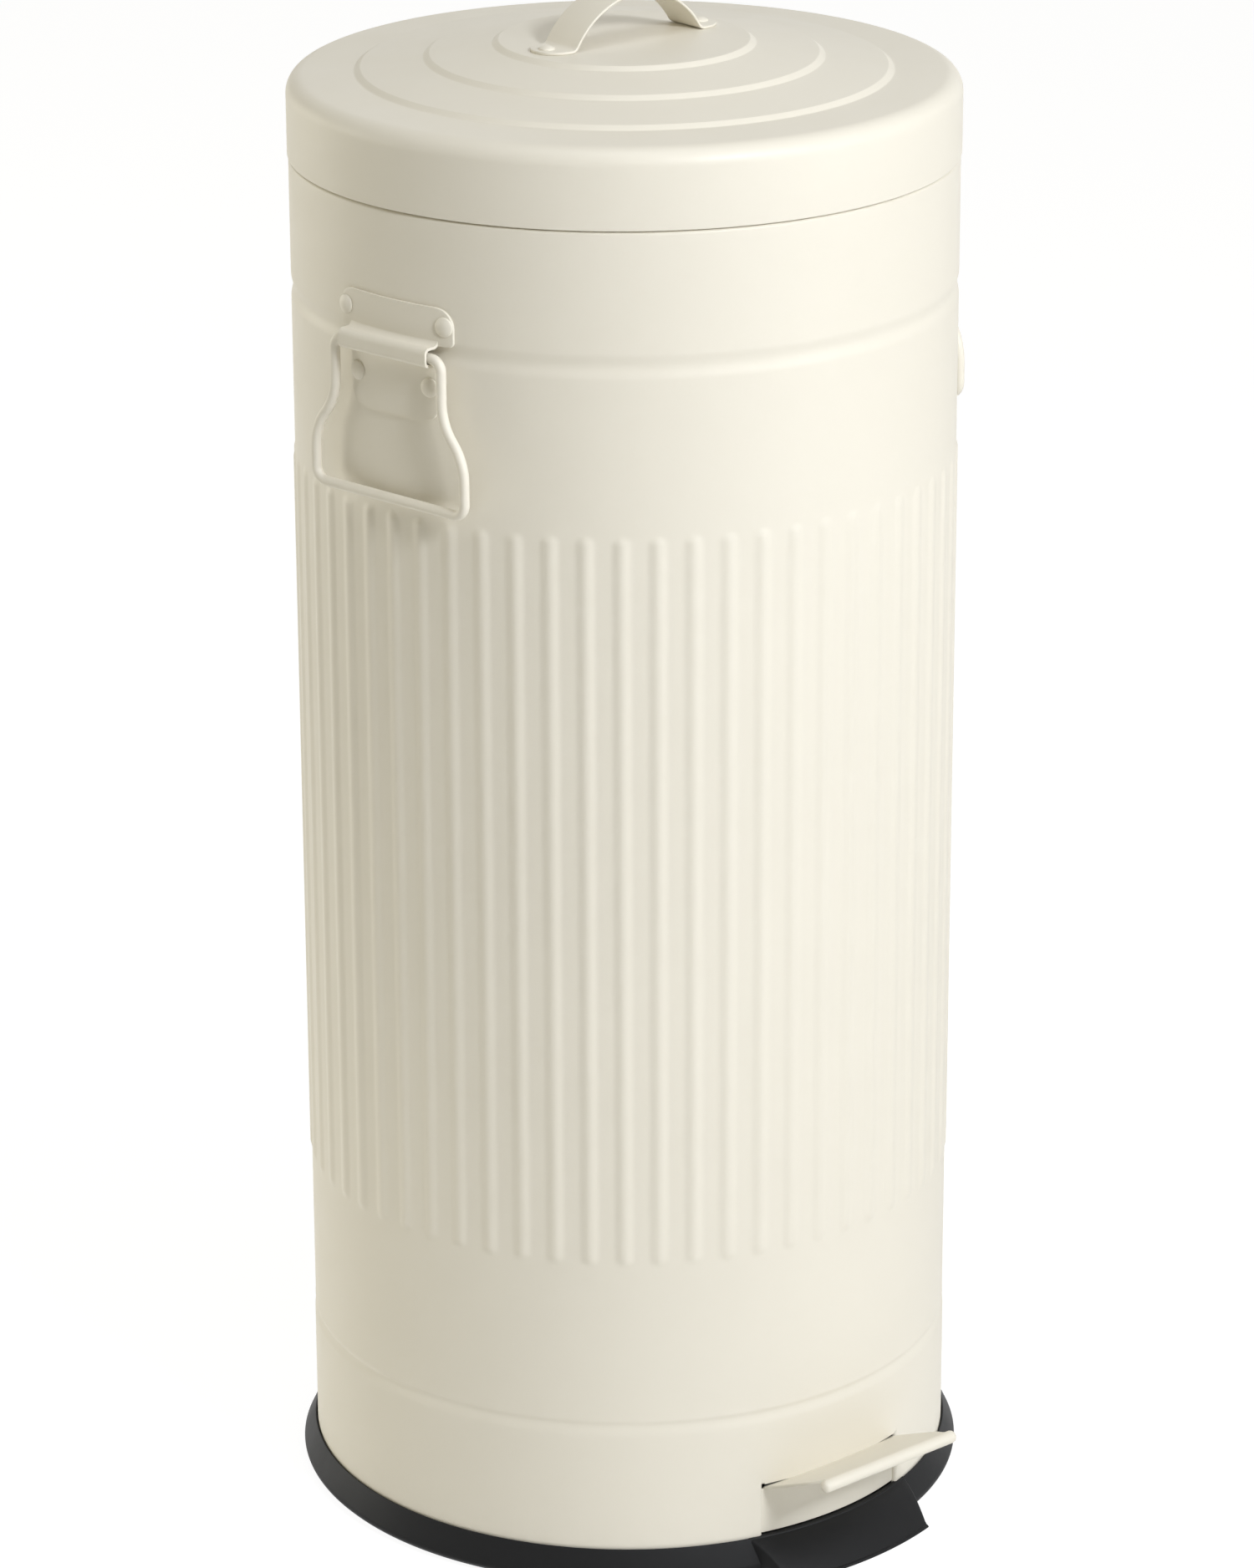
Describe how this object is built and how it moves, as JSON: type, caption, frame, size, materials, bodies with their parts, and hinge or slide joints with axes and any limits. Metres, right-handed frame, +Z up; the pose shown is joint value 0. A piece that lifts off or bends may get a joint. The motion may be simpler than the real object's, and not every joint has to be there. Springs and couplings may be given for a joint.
{
  "type": "pedal bin",
  "caption": "Round ribbed metal pedal bin with a stepped lid, a strap handle, wire carrying handles at the sides, an inner bucket and a black base ring.",
  "frame": {"origin": "centre of the rubber foot ring on the floor plane", "axes": "+Z up along the axis of the bin, -Y towards the pedal, +X to the right of a person who faces the hinge"},
  "size_m": [0.3122, 0.3394, 0.6914],
  "materials": {
    "cream_enamel": "satin",
    "black_plastic": "satin",
    "grey_plastic": "matte",
    "rubber": "matte",
    "plated_steel": "satin"
  },
  "bodies": {
    "casing": {"body_shell": "cream_enamel", "base_moulding": "black_plastic", "foot_ring": "rubber", "fulcrum_bracket": "plated_steel", "fulcrum_pin": "plated_steel", "bracket_screws": "plated_steel", "rod_guides": "plated_steel", "hinge_bracket": "cream_enamel", "hinge_bracket_rivets": "cream_enamel", "hinge_pin": "plated_steel", "left_handle_bracket": "cream_enamel", "left_bracket_rivets": "cream_enamel", "right_handle_bracket": "cream_enamel", "right_bracket_rivets": "cream_enamel", "rim_collar": "black_plastic", "lid_buffers": "rubber"},
    "lid": {"lid_shell": "cream_enamel", "lid_strap_handle": "cream_enamel", "strap_rivets": "cream_enamel", "hinge_leaf": "cream_enamel", "hinge_leaf_rivets": "cream_enamel"},
    "pedal": {"pedal_tread": "cream_enamel", "pedal_lever": "plated_steel"},
    "rod": {"push_rod": "plated_steel", "rod_cap": "black_plastic"},
    "left_handle": {"left_bail": "cream_enamel"},
    "right_handle": {"right_bail": "cream_enamel"},
    "bucket": {"bucket": "grey_plastic"},
    "bucket_handle": {"bucket_bail": "plated_steel"}
  },
  "joints": [
    {"name": "lid_hinge", "type": "hinge", "parent": "casing", "child": "lid", "pos_m": [0, 0.1525, 0.602], "axis": [-1, 0, 0], "range_deg": [0, 80]},
    {"name": "pedal_pivot", "type": "hinge", "parent": "casing", "child": "pedal", "pos_m": [0, -0.06, 0.022], "axis": [1, 0, 0], "range_deg": [0, 9]},
    {"name": "push_rod_slide", "type": "slide", "parent": "casing", "child": "rod", "axis": [0, 0, 1], "range_m": [0, 0.0312]},
    {"name": "left_bail_swing", "type": "hinge", "parent": "casing", "child": "left_handle", "pos_m": [-0.14785, -0.02078, 0.5625], "axis": [-0.1392, 0.9903, 0], "range_deg": [0, 105]},
    {"name": "right_bail_swing", "type": "hinge", "parent": "casing", "child": "right_handle", "pos_m": [0.14785, -0.02078, 0.5625], "axis": [-0.1392, -0.9903, 0], "range_deg": [0, 105]},
    {"name": "bucket_lift", "type": "slide", "parent": "casing", "child": "bucket", "axis": [0, 0, 1], "range_m": [0, 0.012]},
    {"name": "bucket_bail_swing", "type": "hinge", "parent": "bucket", "child": "bucket_handle", "pos_m": [0, 0, 0.6341], "axis": [-1, 0, 0], "range_deg": [0, 6]}
  ],
  "couplings": [
    {"joint": "pedal_pivot", "follows": "lid_hinge", "ratio": 0.11223},
    {"joint": "push_rod_slide", "follows": "lid_hinge", "m_per_rad": 0.022236}
  ]
}
